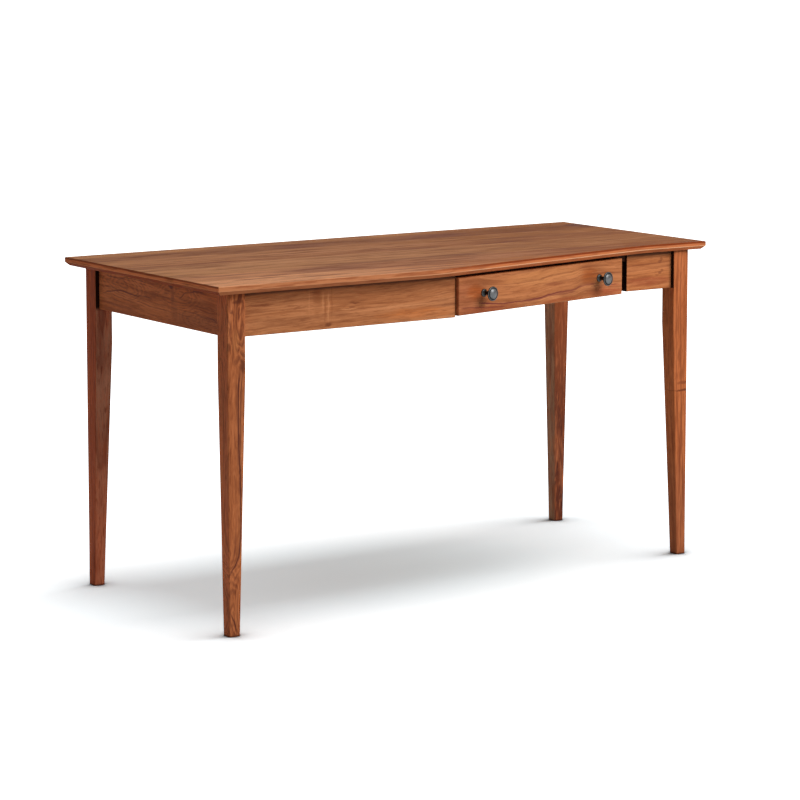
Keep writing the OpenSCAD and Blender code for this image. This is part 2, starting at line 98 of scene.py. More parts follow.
class Finish:
    """The shader of one material, or of the world, built from nodes."""

    def __init__(self, owner):
        owner.use_nodes = True
        owner.node_tree.nodes.clear()
        self.owner = owner
        self.tree = owner.node_tree

    def node(self, kind, settings, sockets, output=0):
        """Adds a node, sets it up, feeds its sockets, and gives one of its outputs, or several by name."""
        made = self.tree.nodes.new("ShaderNode" + kind)
        for key, value in settings.items():
            if key == "points":
                points = made.mapping.curves[0].points
                for place, height in value[1:-1]:
                    points.new(place, height)
                for point, height in zip(points, value):
                    point.location = height
                made.mapping.update()
            else:
                setattr(made, key, value)
        for key, value in sockets.items():
            if isinstance(value, Wire):
                self.tree.links.new(value.socket, made.inputs[key])
            else:
                made.inputs[key].default_value = value
        if isinstance(output, tuple):
            return [Wire(self, made.outputs[name]) for name in output]
        return Wire(self, made.outputs[output]) if made.outputs else None

    def parts(self, vector):
        return dict(zip("XYZ", self.node("SeparateXYZ", {}, {0: vector}, ("X", "Y", "Z"))))

    def place(self):
        """X, Y and Z of the point being shaded, in metres, which stay with the piece when it moves."""
        return self.parts(self.node("TexCoord", {}, {}, "Object"))

    def facing(self):
        """X, Y and Z of the way that the surface faces, before any smoothing."""
        return self.parts(self.node("NewGeometry", {}, {}, "True Normal"))

    def rise(self, value, low, high):
        """0 below low, 1 above high, and a smooth step between. With low above high it falls instead."""
        return self.node("MapRange", {"interpolation_type": "SMOOTHSTEP"},
                         {"Value": value, "From Min": low, "From Max": high})

    def near(self, value, middle, reach):
        """1 where the value is at the middle, fading to 0 at reach from it."""
        return self.rise(abs(value - middle), reach, 0.0)

    def away(self, one, other, middle, reach):
        """0 at the middle of an oval and 1 at its rim, squared."""
        return ((one - middle[0]) / reach[0]) ** 2 + ((other - middle[1]) / reach[1]) ** 2

    def blob(self, one, other, middle, reach):
        """1 at the middle of an oval, fading to 0 at its rim."""
        return self.rise(self.away(one, other, middle, reach), 1.0, 0.0)

    def most(self, one, *others):
        """The largest of several values."""
        for other in others:
            one = one.math("MAXIMUM", one, other)
        return one

    def cloud(self, vector, seed, detail=2.0, roughness=0.5):
        """Smooth noise from 0 to 1 at a point that is already scaled."""
        sockets = {"Vector": vector, "W": seed, "Scale": 1.0, "Detail": detail, "Roughness": roughness}
        return self.node("TexNoise", {"noise_dimensions": "4D"}, sockets)

    def band(self, value, seed):
        """Noise that changes only with one value, which gives streaks that follow it."""
        sockets = {"W": value + seed, "Scale": 1.0, "Detail": 2.0}
        return self.node("TexNoise", {"noise_dimensions": "1D"}, sockets)

    def specks(self, count, seed, detail, roughness=0.5):
        """Noise all through a piece, with about this many specks to a metre."""
        at = self.node("TexCoord", {}, {}, "Object")
        scaled = self.node("VectorMath", {"operation": "SCALE"}, {0: at, "Scale": count})
        return self.cloud(scaled, seed, detail, roughness)

    def curve(self, value, points):
        """A smooth line through points of (place, height), level beyond its ends."""
        first, last = points[0][0], points[-1][0]
        low = min(height for place, height in points)
        span = max(height for place, height in points) - low
        share = self.node("MapRange", {}, {"Value": value, "From Min": first, "From Max": last})
        shares = [((place - first) / (last - first), (height - low) / span) for place, height in points]
        return self.node("FloatCurve", {"points": shares}, {"Value": share}) * span + low

    def mix(self, colour, other, share):
        return self.node("Mix", {"data_type": "RGBA"}, {0: share, 6: colour, 7: other}, 2)

    def coats(self, colour, coats):
        """A colour with others over it, one after another, each with the share of it that shows."""
        for share, coat in coats:
            colour = self.mix(colour, coat, share)
        return colour

    def surface(self, fixed, varied):
        """Ends in a principled shader: fixed holds its constants, varied what changes over the piece."""
        shader = self.node("BsdfPrincipled", {}, {**fixed, **varied}, "BSDF")
        self.node("OutputMaterial", {}, {"Surface": shader})
        return self.owner


def paint(tone):
    """A colour as a screen shows it, 0 to 255, for a shader socket."""
    return [((part / 255 + 0.055) / 1.055) ** 2.4 for part in tone] + [1.0]


PALEST = 250
EASED_EDGE = 0.0016
PORE_DEPTH = 0.00025
SWIRL_LINES = 6


def shades(tone):
    """Pale, plain, dark and heartwood shades of one wood, from its plain shade."""
    red, green, blue = tone
    pale = [min(part, PALEST) for part in (red * 1.1 + 6, green * 1.14 + 6, blue * 1.18 + 6)]
    dark = (red * 0.74, green * 0.68, blue * 0.66)
    heartwood = (red * 0.6, green * 0.52, blue * 0.62)
    return pale, tone, dark, heartwood


def wood(name, axes, tone, seed, pith, lean=(0.0, 0.0), rings=0.0042, sway=0.012, curl=0.003, skew=0.0,
         flow=None, lines=0.35, fine=0.3, patchy=0.5, washes=(), faces=None, swirls=(), veins=(),
         vein_tone=None, spots=(), skin=None, heart=0.6, gloss=0.46, shine=0.03, touches=None, eased=True):
    """Solid wood, with what the saw and the tree gave it.

    axes: the directions along the grain, across the face and into the board.
    pith, lean: where the heart of the log passes, across and deep, and how fast it drifts along the board.
    flow: a line that the grain follows instead. skew: how far the face turns from the axes.
    rings, sway, curl: the width of a year ring, and how far the rings wander slowly and quickly.
    lines, fine, patchy, heart: how dark the year rings, the short dashes, the broad smears and the heart are.
    washes, spots: ovals of another tone, under the grain and over it, each with its middle and its reach
    (along and across), its shade and its strength.
    swirls: ovals of curly figure, each with its middle, its reach and its strength.
    veins: dark lines, each with its points, its half width and its strength. vein_tone: their shade.
    faces, touches: make masks with their shades, which go under the grain and over everything.
    skin: swirls, veins and spots keep to the face at this depth. eased: the arrises are soft, and painted
    paler, partly as rubbed wear and partly as a painted highlight.
    gloss, shine: how rough the surface is, and how strongly it reflects.
    """
    m = Finish(bpy.data.materials.new(name))
    at = m.place()
    along, across, deep = [at[axis] for axis in axes]
    if skew:
        deep = deep - along * skew

    def stretched(length, width, layer, detail=2.0, roughness=0.5, over=across, under=deep):
        """Noise in dashes of this length along the grain and this width across it, in metres."""
        vector = m.node("CombineXYZ", {}, {0: along / length, 1: over / width, 2: under / width})
        return m.cloud(vector, seed + layer, detail, roughness)

    drift = (stretched(0.5, 0.15, 1.0, 1.0) - 0.5) * (2 * sway)
    flutter = (stretched(0.06, 0.02, 2.0, 3.0) - 0.5) * curl
    depth = deep - along * lean[1] - pith[1] + drift * 0.6
    if flow:
        side = across - m.curve(along, flow) + drift * 0.25
        radius = side + depth * 0.35
    else:
        side = across - along * lean[0] - pith[0] + drift
        radius = (side ** 2 + depth ** 2) ** 0.5
    count = (radius + flutter) / rings
    year = count.fraction()
    late = m.rise(year, 0.3, 0.88) * m.rise(year, 1.0, 0.9)
    broad = m.band(count * 0.16, seed * 3.7)
    narrow = m.band(count * 0.55, seed * 5.1)
    followed = {"over": side + flutter * 0.8, "under": depth}
    blotch = stretched(0.14, 0.02, 3.2, 3.0, 0.55, **followed)
    streak = stretched(0.16, 0.006, 3.0, 3.0, 0.6, **followed)
    wisp = stretched(0.035, 0.0035, 3.5, 3.0, 0.6, **followed)
    fibre = stretched(0.03, 0.0011, 4.0, 3.0, 0.6)
    pore = m.rise(stretched(0.007, 0.0005, 5.0, 1.0), 0.64, 0.76)
    fleck = m.rise(stretched(0.05, 0.009, 6.0, 2.0), 0.55, 0.76)
    patch = m.rise(stretched(0.28, 0.035, 7.0, 2.0), 0.47, 0.68)
    pale, plain, dark, purple = [paint(shade) for shade in shades(tone)]
    wander = (stretched(0.03, 0.02, 8.0, 3.0, 0.6) - 0.5) * 0.01
    vein_colour = paint(vein_tone) if vein_tone else purple
    shown = 1.0 if skin is None else m.rise(deep, skin + 0.004, skin + 0.001)
    coats = [(m.rise(broad, 0.34, 0.56), plain)]
    coats += [(m.blob(along, across + wander, middle, reach) * strength, paint(shade))
              for middle, reach, shade, strength in washes]
    coats += [(mask, paint(shade)) for mask, shade in (faces(m, at) if faces else ())]
    coats += [(m.rise(blotch, 0.48, 0.68) * patchy, dark),
              (m.rise(blotch, 0.48, 0.3) * 0.6, pale),
              (m.rise(streak, 0.5, 0.72) * 0.65, dark),
              (m.rise(streak, 0.45, 0.3) * 0.4, pale),
              (m.rise(wisp, 0.52, 0.68) * fine, dark),
              (m.rise(wisp, 0.46, 0.32) * (fine * 0.7), pale),
              (late * m.rise(narrow, 0.36, 0.66) * lines, dark),
              (m.rise(narrow, 0.5, 0.66) * patch * heart, purple),
              (fleck * 0.35, dark)]
    eddy = stretched(0.085, 0.024, 7.5, 1.5) if swirls else None
    for middle, reach, strength in swirls:
        away = m.away(along, across, middle, reach)
        turn = (away ** 0.5 * SWIRL_LINES + eddy * 6 + wander * 140).fraction()
        crest = m.rise(turn, 0.3, 0.78) * m.rise(turn, 1.0, 0.84) * m.rise(wisp, 0.26, 0.54) * shown
        trough = m.near(turn, 0.2, 0.16) * shown
        inside = m.rise(away, 1.0, 0.3)
        coats += [(inside * crest * strength, vein_colour), (inside * trough * (strength * 0.7), pale)]
    for points, width, strength in veins:
        line = m.near(across - m.curve(along, points) + wander * 0.5, 0.0, width)
        start, stop = points[0][0], points[-1][0]
        ends = m.rise(along, start, start + 0.02) * m.rise(along, stop, stop - 0.02)
        coats.append((line * ends * shown * m.rise(streak, 0.2, 0.5) * strength, vein_colour))
    coats += [(m.blob(along + wander, across + wander, middle, reach) * shown * strength, paint(shade))
              for middle, reach, shade, strength in spots]
    coats += [(m.rise(fibre, 0.52, 0.74) * (0.2 + fine * 0.5), dark),
              (m.rise(fibre, 0.46, 0.28) * 0.2, pale),
              (pore * 0.5, dark)]
    soft = {}
    wear_and_highlight = 0.0
    if eased:
        bevel = m.node("Bevel", {"samples": 4}, {"Radius": EASED_EDGE})
        flat = m.node("NewGeometry", {}, {}, "True Normal")
        level = m.node("VectorMath", {"operation": "DOT_PRODUCT"}, {0: bevel, 1: flat}, "Value")
        soft = {"Normal": bevel}
        # The arrises are painted paler, partly as rubbed wear and partly as a painted highlight.
        wear_and_highlight = m.rise(level, 0.99, 0.86)
        coats.append((wear_and_highlight * (stretched(0.05, 0.02, 9.0, 3.0) * 0.5 + 0.1), pale))
    coats += [(mask, paint(shade)) for mask, shade in (touches(m, at) if touches else ())]
    colour = m.coats(pale, coats)
    height = fibre * 0.35 - pore * 0.6 - late * 0.12
    bump = m.node("Bump", {}, {"Strength": 0.35, "Distance": PORE_DEPTH, "Height": height, **soft}, "Normal")
    roughness = fibre * 0.16 + pore * 0.14 - wear_and_highlight * 0.06 + (gloss - 0.06)
    return m.surface({"Specular IOR Level": shine},
                     {"Base Color": colour, "Roughness": roughness, "Normal": bump})


def dress(node, material):
    """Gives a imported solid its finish."""
    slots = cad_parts[node].data.materials
    slots.clear()
    slots.append(material)


TOP_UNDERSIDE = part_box("top_board_1")[0].z
TOP_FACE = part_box("top_board_1")[1].z
BEVEL_START = TOP_FACE - 0.0108
EDGE = (204, 130, 86)
# The ends are painted brighter and redder as painted warm light on faces in shade, the lower arrises carry a
# painted highlight, and the bevel under the ends is painted darker as painted shade.
END_EDGE_WARM_LIGHT = (250, 140, 90)
RIGHT_EDGE = (204, 110, 62)
EDGE_STREAK = (162, 90, 56)
UPPER_ARRIS = (134, 58, 26)
LOWER_ARRIS_HIGHLIGHT = (250, 204, 160)
END_ARRIS_HIGHLIGHT = (250, 150, 96)
UNDER_FRONT = (190, 116, 76)
UNDER_END_SHADE = (150, 70, 40)


def top_edge(m, at):
    """The edge of the top all round: its upright face, the bevel beneath, and its upper and lower arrises."""
    facing = m.facing()
    point = m.node("CombineXYZ", {}, {0: at["X"] * 16, 1: at["Y"] * 16, 2: at["Z"] * 220})
    mottle = m.cloud(point, 2.0, 3.0)
    face = m.near(facing["Z"], 0.0, 0.4)
    under = m.near(facing["Z"], -0.7, 0.25)
    end = m.rise(abs(facing["X"]), 0.3, 0.5)
    to_right = m.most(m.rise(at["X"], -0.35, 0.1), end * 0.7)
    lower = face * m.near(at["Z"], BEVEL_START, 0.0018)
    uppermost = m.rise(at["Z"], TOP_FACE - 0.005, TOP_FACE - 0.0032)
    upper = m.most(m.near(facing["Z"], 0.7, 0.25), face * uppermost)
    # Painted light on the edge: warm light on the ends, highlights on the lower arrises, shade under the
    # ends.
    return [(face, EDGE), (under, UNDER_FRONT), (m.most(face, under) * to_right * 0.6, RIGHT_EDGE),
            (face * end, END_EDGE_WARM_LIGHT), (under * end, UNDER_END_SHADE),
            (m.most(face, under) * m.rise(mottle, 0.46, 0.64) * 0.7, EDGE_STREAK),
            (lower * (m.rise(mottle, 0.3, 0.5) * 0.4 + 0.5) * (to_right * 0.85 + 0.15), LOWER_ARRIS_HIGHLIGHT),
            (lower * end, END_ARRIS_HIGHLIGHT), (upper * (to_right * 0.85 + 0.1), UPPER_ARRIS)]


PURPLE = (134, 82, 64)
TOP_BOARDS = [
    ((202, 137, 96), []),
    ((178, 117, 80), [((-0.346, -0.19), (0.16, 0.05), (144, 92, 69), 0.65),
                      ((0.36, -0.17), (0.14, 0.03), (154, 96, 66), 0.6)]),
    ((184, 124, 82), [((0.45, -0.11), (0.5, 0.06), (172, 112, 70), 0.8)]),
    ((186, 126, 84), [((0.42, -0.03), (0.55, 0.08), (172, 112, 70), 0.8),
                      ((0.28, -0.065), (0.14, 0.03), (146, 94, 62), 0.6)]),
    ((176, 115, 76), [((0.45, 0.07), (0.55, 0.08), (162, 102, 64), 0.8),
                      ((0.02, 0.03), (0.12, 0.04), (148, 94, 66), 0.6)]),
    ((182, 121, 80), [((0.45, 0.15), (0.5, 0.07), (168, 107, 62), 0.8)]),
    ((162, 104, 68), [((-0.15, 0.24), (0.1, 0.05), PURPLE, 0.75),
                      ((0.24, 0.245), (0.13, 0.05), PURPLE, 0.85),
                      ((0.7, 0.25), (0.06, 0.06), (106, 64, 54), 0.9)]),
    ((188, 126, 82), []),
]
for number, (tone, washes) in enumerate(TOP_BOARDS):
    name = "board %d" % (number + 1)
    node = "top_board_%d" % (number + 1)
    low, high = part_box(node)
    middle = (low.y + high.y) / 2
    pith = (middle + 0.03 * math.sin(2.3 * number + 1), low.z - 0.03 - 0.015 * (number % 3))
    lean = (0.02 * math.cos(1.9 * number), 0.012 * math.sin(1.3 * number))
    # Each board's left end is painted paler and its right end darker: painted light and painted shade along
    # the top.
    painted_lit_end = (tone[0] * 1.22, tone[1] * 1.27, tone[2] * 1.3)
    painted_shaded_end = (tone[0] * 0.87, tone[1] * 0.79, tone[2] * 0.65)
    ends = [((low.x, middle), (0.55, 0.3), painted_lit_end, 0.9 if number < 2 else 0.25),
            ((high.x, middle), (0.65, 0.3), painted_shaded_end, 0.9)]
    dress(node, wood(name, axes="XYZ", tone=tone, seed=1.3 + 2.1 * number, pith=pith, lean=lean, sway=0.02,
                     lines=0.15, fine=0.3, patchy=0.8, washes=ends + washes, touches=top_edge, eased=False,
                     gloss=0.58, shine=0.014))


# Four legs of the same wood, sawn square, tapered on the two inner faces below the aprons, and eased along
# their arrises. The grain runs up them. The front left one was cut beside a fork of the tree, so its grain
# swirls under the top and near the floor.
FRONT_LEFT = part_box("leg_front_left")[0]
FRONT_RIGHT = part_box("leg_front_right")[0]
BACK_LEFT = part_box("leg_back_left")[0]
SIDE_APRON_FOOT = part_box("apron_left")[0].z
SHORT_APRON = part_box("apron_front_right")[0]
LEFT_FLOW = [(0.0, 0.0), (0.06, -0.02), (0.1, -0.016), (0.143, 0.004), (0.16, 0.017), (0.185, 0.025),
             (0.23, 0.029), (0.3, 0.0295), (0.4, 0.027), (0.56, 0.028), (0.61, 0.034), (0.743, 0.05)]
LEFT_VEINS = [
    ([(0.13, -0.002), (0.143, 0.004), (0.16, 0.017), (0.185, 0.025), (0.23, 0.029), (0.3, 0.0295),
      (0.4, 0.026), (0.5, 0.0255), (0.555, 0.027), (0.575, 0.034)], 0.0034, 1.0),
    ([(0.3, 0.031), (0.36, 0.0285), (0.44, 0.03), (0.5, 0.031), (0.55, 0.0345), (0.6, 0.04)], 0.003, 0.8),
    ([(0.36, 0.0225), (0.44, 0.0235), (0.5, 0.0215), (0.56, 0.023)], 0.003, 0.5),
    ([(0.0, 0.0195), (0.02, 0.015), (0.04, 0.008), (0.06, -0.002)], 0.003, 0.9),
    ([(0.0, 0.011), (0.025, 0.005), (0.045, -0.003)], 0.0026, 0.6),
    ([(0.625, -0.002), (0.63, 0.01), (0.623, 0.02), (0.61, 0.03), (0.598, 0.042)], 0.0024, 0.8),
]
RIGHT_VEINS = [
    ([(0.0, 0.03), (0.2, 0.025), (0.45, 0.012), (0.6, 0.01), (0.74, 0.011)], 0.0026, 0.45),
    ([(0.1, 0.038), (0.3, 0.03), (0.5, 0.024), (0.65, 0.022), (0.74, 0.024)], 0.003, 0.65),
    ([(0.25, 0.039), (0.5, 0.034), (0.74, 0.033)], 0.0022, 0.35),
]
CHECK = (118, 62, 38)
BURL = (104, 54, 36)
SHADED = (36, 19, 12)
LEG_END_SHADE = (72, 36, 24)
WARM_LIGHT_SIDE = (226, 118, 76)
FRONT_FILL_PAINT = (206, 144, 114)
SIDE_FILL_PAINT = (190, 144, 112)


def from_edge(points, along=0.0, across=0.0):
    """Places counted from the edge of a piece, as places in the frame."""
    return [(place + along, side + across) for place, side in points]


def marks_from_edge(marks, along=0.0, across=0.0):
    """Marks whose places are counted from the edge of a piece, with their places in the frame."""
    return [(*from_edge([middle], along, across), *looks) for middle, *looks in marks]


def veins_from_edge(veins, across):
    """Dark lines that are counted from the left edge of a leg, with their places in the frame."""
    return [(from_edge(points, across=across), *looks) for points, *looks in veins]


def painted_shade_leg_ends(m, at):
    """Painted shade along the lower edge of a leg, where it stands on the floor, and at its upper end under
    the top.
    """
    return [(m.rise(at["Z"], 0.0055, 0.001) * 0.75, LEG_END_SHADE),
            (m.rise(at["Z"], TOP_UNDERSIDE - 0.006, TOP_UNDERSIDE - 0.001) * 0.6, LEG_END_SHADE)]


def painted_warm_light_side(m, at):
    """The left face of the front left leg, which is in shade, painted lighter and redder as painted warm
    light.
    """
    return [(m.rise(at["X"], FRONT_LEFT.x + 0.0008, FRONT_LEFT.x + 0.0003) * 0.7, WARM_LIGHT_SIDE)]


def painted_fill_front(m, at):
    """The front of the back left leg, which is in the shade of the desk, painted lighter and greyer as
    painted light, more so higher up.
    """
    front = m.rise(m.facing()["Y"], -0.6, -0.9)
    return [(front * (m.rise(at["Z"], 0.1, 0.5) * 0.5 + 0.35), FRONT_FILL_PAINT)]


def shaded_corner(m, at):
    """The narrow strip of the back left leg that stands in the dark beside the apron."""
    front = m.rise(at["Y"], BACK_LEFT.y + 0.0012, BACK_LEFT.y + 0.0006)
    beside = m.rise(at["X"], BACK_LEFT.x + 0.001, BACK_LEFT.x + 0.0022)
    above = m.rise(at["Z"], SIDE_APRON_FOOT - 0.006, SIDE_APRON_FOOT + 0.006)
    return [(front * (beside * above), SHADED)] + painted_shade_leg_ends(m, at)


def shaded_side(m, at):
    """The strip of the front right leg beside the end of the short apron."""
    left = m.rise(at["X"], FRONT_RIGHT.x + 0.0008, FRONT_RIGHT.x + 0.0003)
    above = m.rise(at["Z"], SHORT_APRON.z - 0.0015, SHORT_APRON.z + 0.0015)
    return [(left * above, SHADED)] + painted_shade_leg_ends(m, at)


def painted_fill_side(m, at):
    """The face of the back right leg that is turned to the inside, in shade, painted lighter and greyer as
    painted light.
    """
    return [(m.rise(m.facing()["X"], -0.6, -0.9) * 0.8, SIDE_FILL_PAINT)]


legs = {
    "front_left": dict(
        tone=(184, 106, 63), rings=0.0036, lines=0.6, fine=0.85, curl=0.006, heart=0.7, skin=FRONT_LEFT.y,
        vein_tone=(80, 38, 34), faces=painted_warm_light_side, touches=painted_shade_leg_ends,
        flow=from_edge(LEFT_FLOW, across=FRONT_LEFT.x), veins=veins_from_edge(LEFT_VEINS, FRONT_LEFT.x),
        washes=marks_from_edge([((0.06, 0.01), (0.18, 0.06), (200, 118, 72), 0.8)], across=FRONT_LEFT.x),
        swirls=marks_from_edge([
            ((0.7, 0.03), (0.15, 0.036), 0.6),
            ((0.05, 0.01), (0.15, 0.034), 0.4),
            ((0.36, 0.022), (0.3, 0.05), 0.15)], across=FRONT_LEFT.x),
        spots=marks_from_edge([
            ((0.585, 0.038), (0.02, 0.008), BURL, 0.85),
            ((0.628, 0.003), (0.012, 0.008), BURL, 0.7),
            ((0.723, 0.024), (0.006, 0.016), BURL, 0.8),
            ((0.64, 0.02), (0.03, 0.012), (206, 132, 78), 0.3)], across=FRONT_LEFT.x)),
    "front_right": dict(
        tone=(190, 106, 61), rings=0.006, lines=0.4, fine=0.6, heart=0.4, vein_tone=(112, 58, 36),
        touches=shaded_side, veins=veins_from_edge(RIGHT_VEINS, FRONT_RIGHT.x),
        washes=marks_from_edge([((0.0, 0.03), (0.3, 0.09), (154, 90, 59), 0.8)], across=FRONT_RIGHT.x),
        spots=marks_from_edge([
            ((0.402, 0.032), (0.0036, 0.034), CHECK, 1.0),
            ((0.421, 0.036), (0.0055, 0.028), (134, 70, 42), 0.8),
            ((0.44, 0.026), (0.016, 0.01), (148, 80, 46), 0.6),
            ((0.49, 0.018), (0.02, 0.004), (140, 76, 44), 0.7),
            ((0.56, 0.015), (0.03, 0.004), (146, 80, 46), 0.6),
            ((0.34, 0.027), (0.022, 0.006), (146, 82, 48), 0.7)], across=FRONT_RIGHT.x)),
    "back_left": dict(tone=(178, 82, 45), rings=0.007, lines=0.5, fine=0.65, heart=0.4, faces=painted_fill_front,
                      touches=shaded_corner),
    "back_right": dict(tone=(187, 104, 63), rings=0.005, lines=0.5, fine=0.65, heart=0.4, faces=painted_fill_side,
                       # The dark wash low on this leg is painted shade, as under the desk.
                       touches=painted_shade_leg_ends, washes=[((0.0, 0.65), (0.66, 0.2), (78, 39, 32), 1.0)]),
}
for number, (name, figure) in enumerate(legs.items()):
    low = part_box("leg_" + name)[0]
    pith = (low.x - 0.05 + 0.03 * number, low.y - 0.06)
    dress("leg_" + name, wood("leg " + name, axes="ZXY", seed=21.0 + 3.3 * number, pith=pith,
                              lean=(0.012, 0.02), **figure))


# The aprons are boards on edge, tenoned into the legs and set back from their faces, with eased lower
# arrises. The long front one has a band of wavy grain about a small knot, the short one two pin knots, and
# the left one a lively swirling figure.
LONG_APRON_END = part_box("leg_front_left")[1].x
BAND = (150, 88, 52)
PALE_BAND = (222, 152, 102)
KNOT = (104, 54, 34)
UNDER_TOP = (74, 50, 40)


def top_shade(m, at):
    """The upper edge of a front apron, darker where it meets the top."""
    return [(m.rise(at["Z"], TOP_UNDERSIDE - 0.0125, TOP_UNDERSIDE - 0.0055) * 0.85, UNDER_TOP)]


def painted_shade_apron_end(m, at):
    """The end of the short front apron beside the drawer, painted nearly black as painted shade, with the
    painted shade under the top.
    """
    end = m.rise(at["X"], SHORT_APRON.x + 0.0008, SHORT_APRON.x + 0.0002)
    return top_shade(m, at) + [(end, SHADED)]


aprons = {
    "front_left": dict(
        axes="XZY", tone=(183, 115, 72), heart=0.3, fine=0.6, touches=top_shade,
        washes=marks_from_edge([
            ((0.1, 0.7), (0.11, 0.07), (194, 126, 82), 0.8),
            ((0.188, 0.715), (0.014, 0.05), BAND, 0.7),
            ((0.46, 0.665), (0.14, 0.014), (206, 122, 68), 0.9)], along=LONG_APRON_END),
        spots=marks_from_edge([
            ((0.168, 0.71), (0.003, 0.04), PALE_BAND, 0.25),
            ((0.203, 0.705), (0.003, 0.03), PALE_BAND, 0.35),
            ((0.209, 0.69), (0.003, 0.035), BAND, 0.5),
            ((0.217, 0.695), (0.003, 0.045), PALE_BAND, 0.45),
            ((0.225, 0.705), (0.003, 0.045), BAND, 0.4),
            ((0.217, 0.656), (0.011, 0.006), KNOT, 0.7),
            ((0.285, 0.7), (0.018, 0.003), KNOT, 0.6),
            ((0.28, 0.692), (0.012, 0.0025), KNOT, 0.5),
            ((0.04, 0.711), (0.045, 0.0035), (128, 70, 44), 0.75),
            ((0.1, 0.69), (0.1, 0.004), BAND, 0.5),
            ((0.27, 0.687), (0.03, 0.002), PALE_BAND, 0.7),
            ((0.4, 0.683), (0.09, 0.0018), PALE_BAND, 0.5),
            ((0.36, 0.694), (0.06, 0.003), BAND, 0.6)], along=LONG_APRON_END)),
    "front_right": dict(
        axes="XZY", tone=(193, 118, 71), heart=0.4, fine=0.5, touches=painted_shade_apron_end,
        washes=[((0.56, 0.672), (0.1, 0.014), (164, 84, 54), 0.9)],
        spots=[((0.6045, 0.7235), (0.006, 0.007), (140, 78, 50), 0.6),
               ((0.6, 0.7175), (0.007, 0.005), (124, 68, 46), 0.6),
               ((0.606, 0.6955), (0.006, 0.005), (132, 74, 48), 0.6),
               ((0.6, 0.6905), (0.007, 0.004), (120, 66, 44), 0.6),
               ((0.592, 0.686), (0.008, 0.003), (150, 84, 50), 0.6)]),
    "back": dict(axes="XZY", tone=(184, 112, 68), heart=0.5),
    "left": dict(
        axes="YZX", tone=(206, 115, 69), heart=0.5, curl=0.008, lines=0.4, fine=0.65, patchy=0.7,
        vein_tone=(108, 55, 42),
        washes=[((-0.11, 0.69), (0.09, 0.05), (220, 125, 76), 0.8),
                ((-0.26, 0.69), (0.07, 0.06), (192, 104, 64), 0.8)],
        swirls=[((0.16, 0.715), (0.14, 0.05), 0.35), ((-0.09, 0.72), (0.12, 0.05), 0.3),
                ((-0.2, 0.67), (0.14, 0.04), 0.35)],
        veins=[([(0.02, 0.6925), (0.07, 0.697), (0.1, 0.6945), (0.16, 0.699), (0.21, 0.694), (0.25, 0.686)],
                0.003, 0.85),
               ([(-0.205, 0.731), (-0.17, 0.7315), (-0.14, 0.7265), (-0.118, 0.722), (-0.1, 0.711),
                 (-0.085, 0.7085)], 0.0028, 0.9),
               ([(-0.26, 0.684), (-0.2, 0.678), (-0.16, 0.683), (-0.12, 0.679)], 0.0035, 0.55),
               ([(0.05, 0.722), (0.12, 0.731), (0.19, 0.726), (0.24, 0.73)], 0.0025, 0.6)],
        spots=[((-0.058, 0.732), (0.012, 0.007), (96, 52, 44), 0.85),
               ((-0.064, 0.712), (0.01, 0.026), (140, 78, 54), 0.6),
               ((-0.072, 0.684), (0.02, 0.03), (158, 88, 58), 0.45),
               ((-0.16, 0.665), (0.13, 0.02), (138, 74, 50), 0.5)]),
    "right": dict(axes="YZX", tone=(188, 114, 68), heart=0.4),
}
for number, (name, figure) in enumerate(aprons.items()):
    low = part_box("apron_" + name)[0]
    deep = low.y if figure["axes"] == "XZY" else low.x
    dress("apron_" + name, wood("apron " + name, seed=41.0 + 2.7 * number, pith=(low.z - 0.03, deep - 0.05),
                                lean=(0.03, 0.02), rings=0.0048, **figure))


# Inside the frame two rails run from front to back, a flat rail crosses above the drawer, and two ledged
# runners carry it. They are of a plain wood painted dark as painted shade, so that the gaps round the drawer
# look black.
PAINTED_GAP_SHADE = (66, 38, 27)
for number, node in enumerate(("bay_rail_left", "bay_rail_right", "drawer_top_rail",
                               "drawer_runner_left", "drawer_runner_right")):
    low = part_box(node)[0]
    axes = "XYZ" if node == "drawer_top_rail" else "YZX"
    dress(node, wood(node.replace("_", " "), axes=axes, tone=PAINTED_GAP_SHADE, seed=61.0 + 1.9 * number,
                     pith=(low.z - 0.06, low.x - 0.05), rings=0.003, heart=0.2, gloss=0.6))


# Ten small buttons of pale wood are screwed up into the top. Their tongues sit in slots in the aprons, which
# holds the top down and still lets its boards swell and shrink.
PALE_WOOD = (206, 164, 120)
dress("top_buttons", wood("top buttons", axes="YXZ", tone=PALE_WOOD, seed=75.0, pith=(0.0, 0.6),
                          rings=0.003, heart=0.1, gloss=0.6))


# Zinc-plated steel screws hold the buttons, the rails, the runners, the drawer bottom and the knobs. Their
# plating is a little cloudy.
ZINC = (176, 176, 172)
DULL_ZINC = (140, 140, 138)
zinc = Finish(bpy.data.materials.new("zinc plated steel"))
zinc_cloud = zinc.specks(count=600.0, seed=1.0, detail=3.0)
zinc_colour = zinc.mix(paint(ZINC), paint(DULL_ZINC), zinc.rise(zinc_cloud, 0.35, 0.7))
screw_steel = zinc.surface({"Metallic": 1.0},
                           {"Base Color": zinc_colour, "Roughness": zinc_cloud * 0.2 + 0.25})
for node in ("bay_rail_screws", "runner_screws", "top_button_screws", "drawer_bottom_screws", "knob_screws"):
    dress(node, screw_steel)


# The drawer front is one lively board set parallel to the bowed edge, with a rounded arris all round. A dark
# line of heartwood dips and climbs to the right across it, with redder wood below.
SLANT_DEPTH = 0.130
SLANT_LENGTH = 0.680
SLANT = math.atan(SLANT_DEPTH / SLANT_LENGTH)
front_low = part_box("drawer_front")[0]
FRONT_FLOW = [(0.0, 0.025), (0.06, 0.024), (0.095, 0.02), (0.15, 0.0155), (0.187, 0.015), (0.233, 0.0155),
              (0.273, 0.018), (0.3, 0.0215), (0.35, 0.0245), (0.383, 0.0255), (0.41, 0.031), (0.435, 0.033),
              (0.47, 0.032), (0.557, 0.028)]


def on_front(points):
    """Places on the drawer front, from lengths along its slanting face and heights above its lower edge."""
    return [(front_low.x + length * math.cos(SLANT), front_low.z + height) for length, height in points]


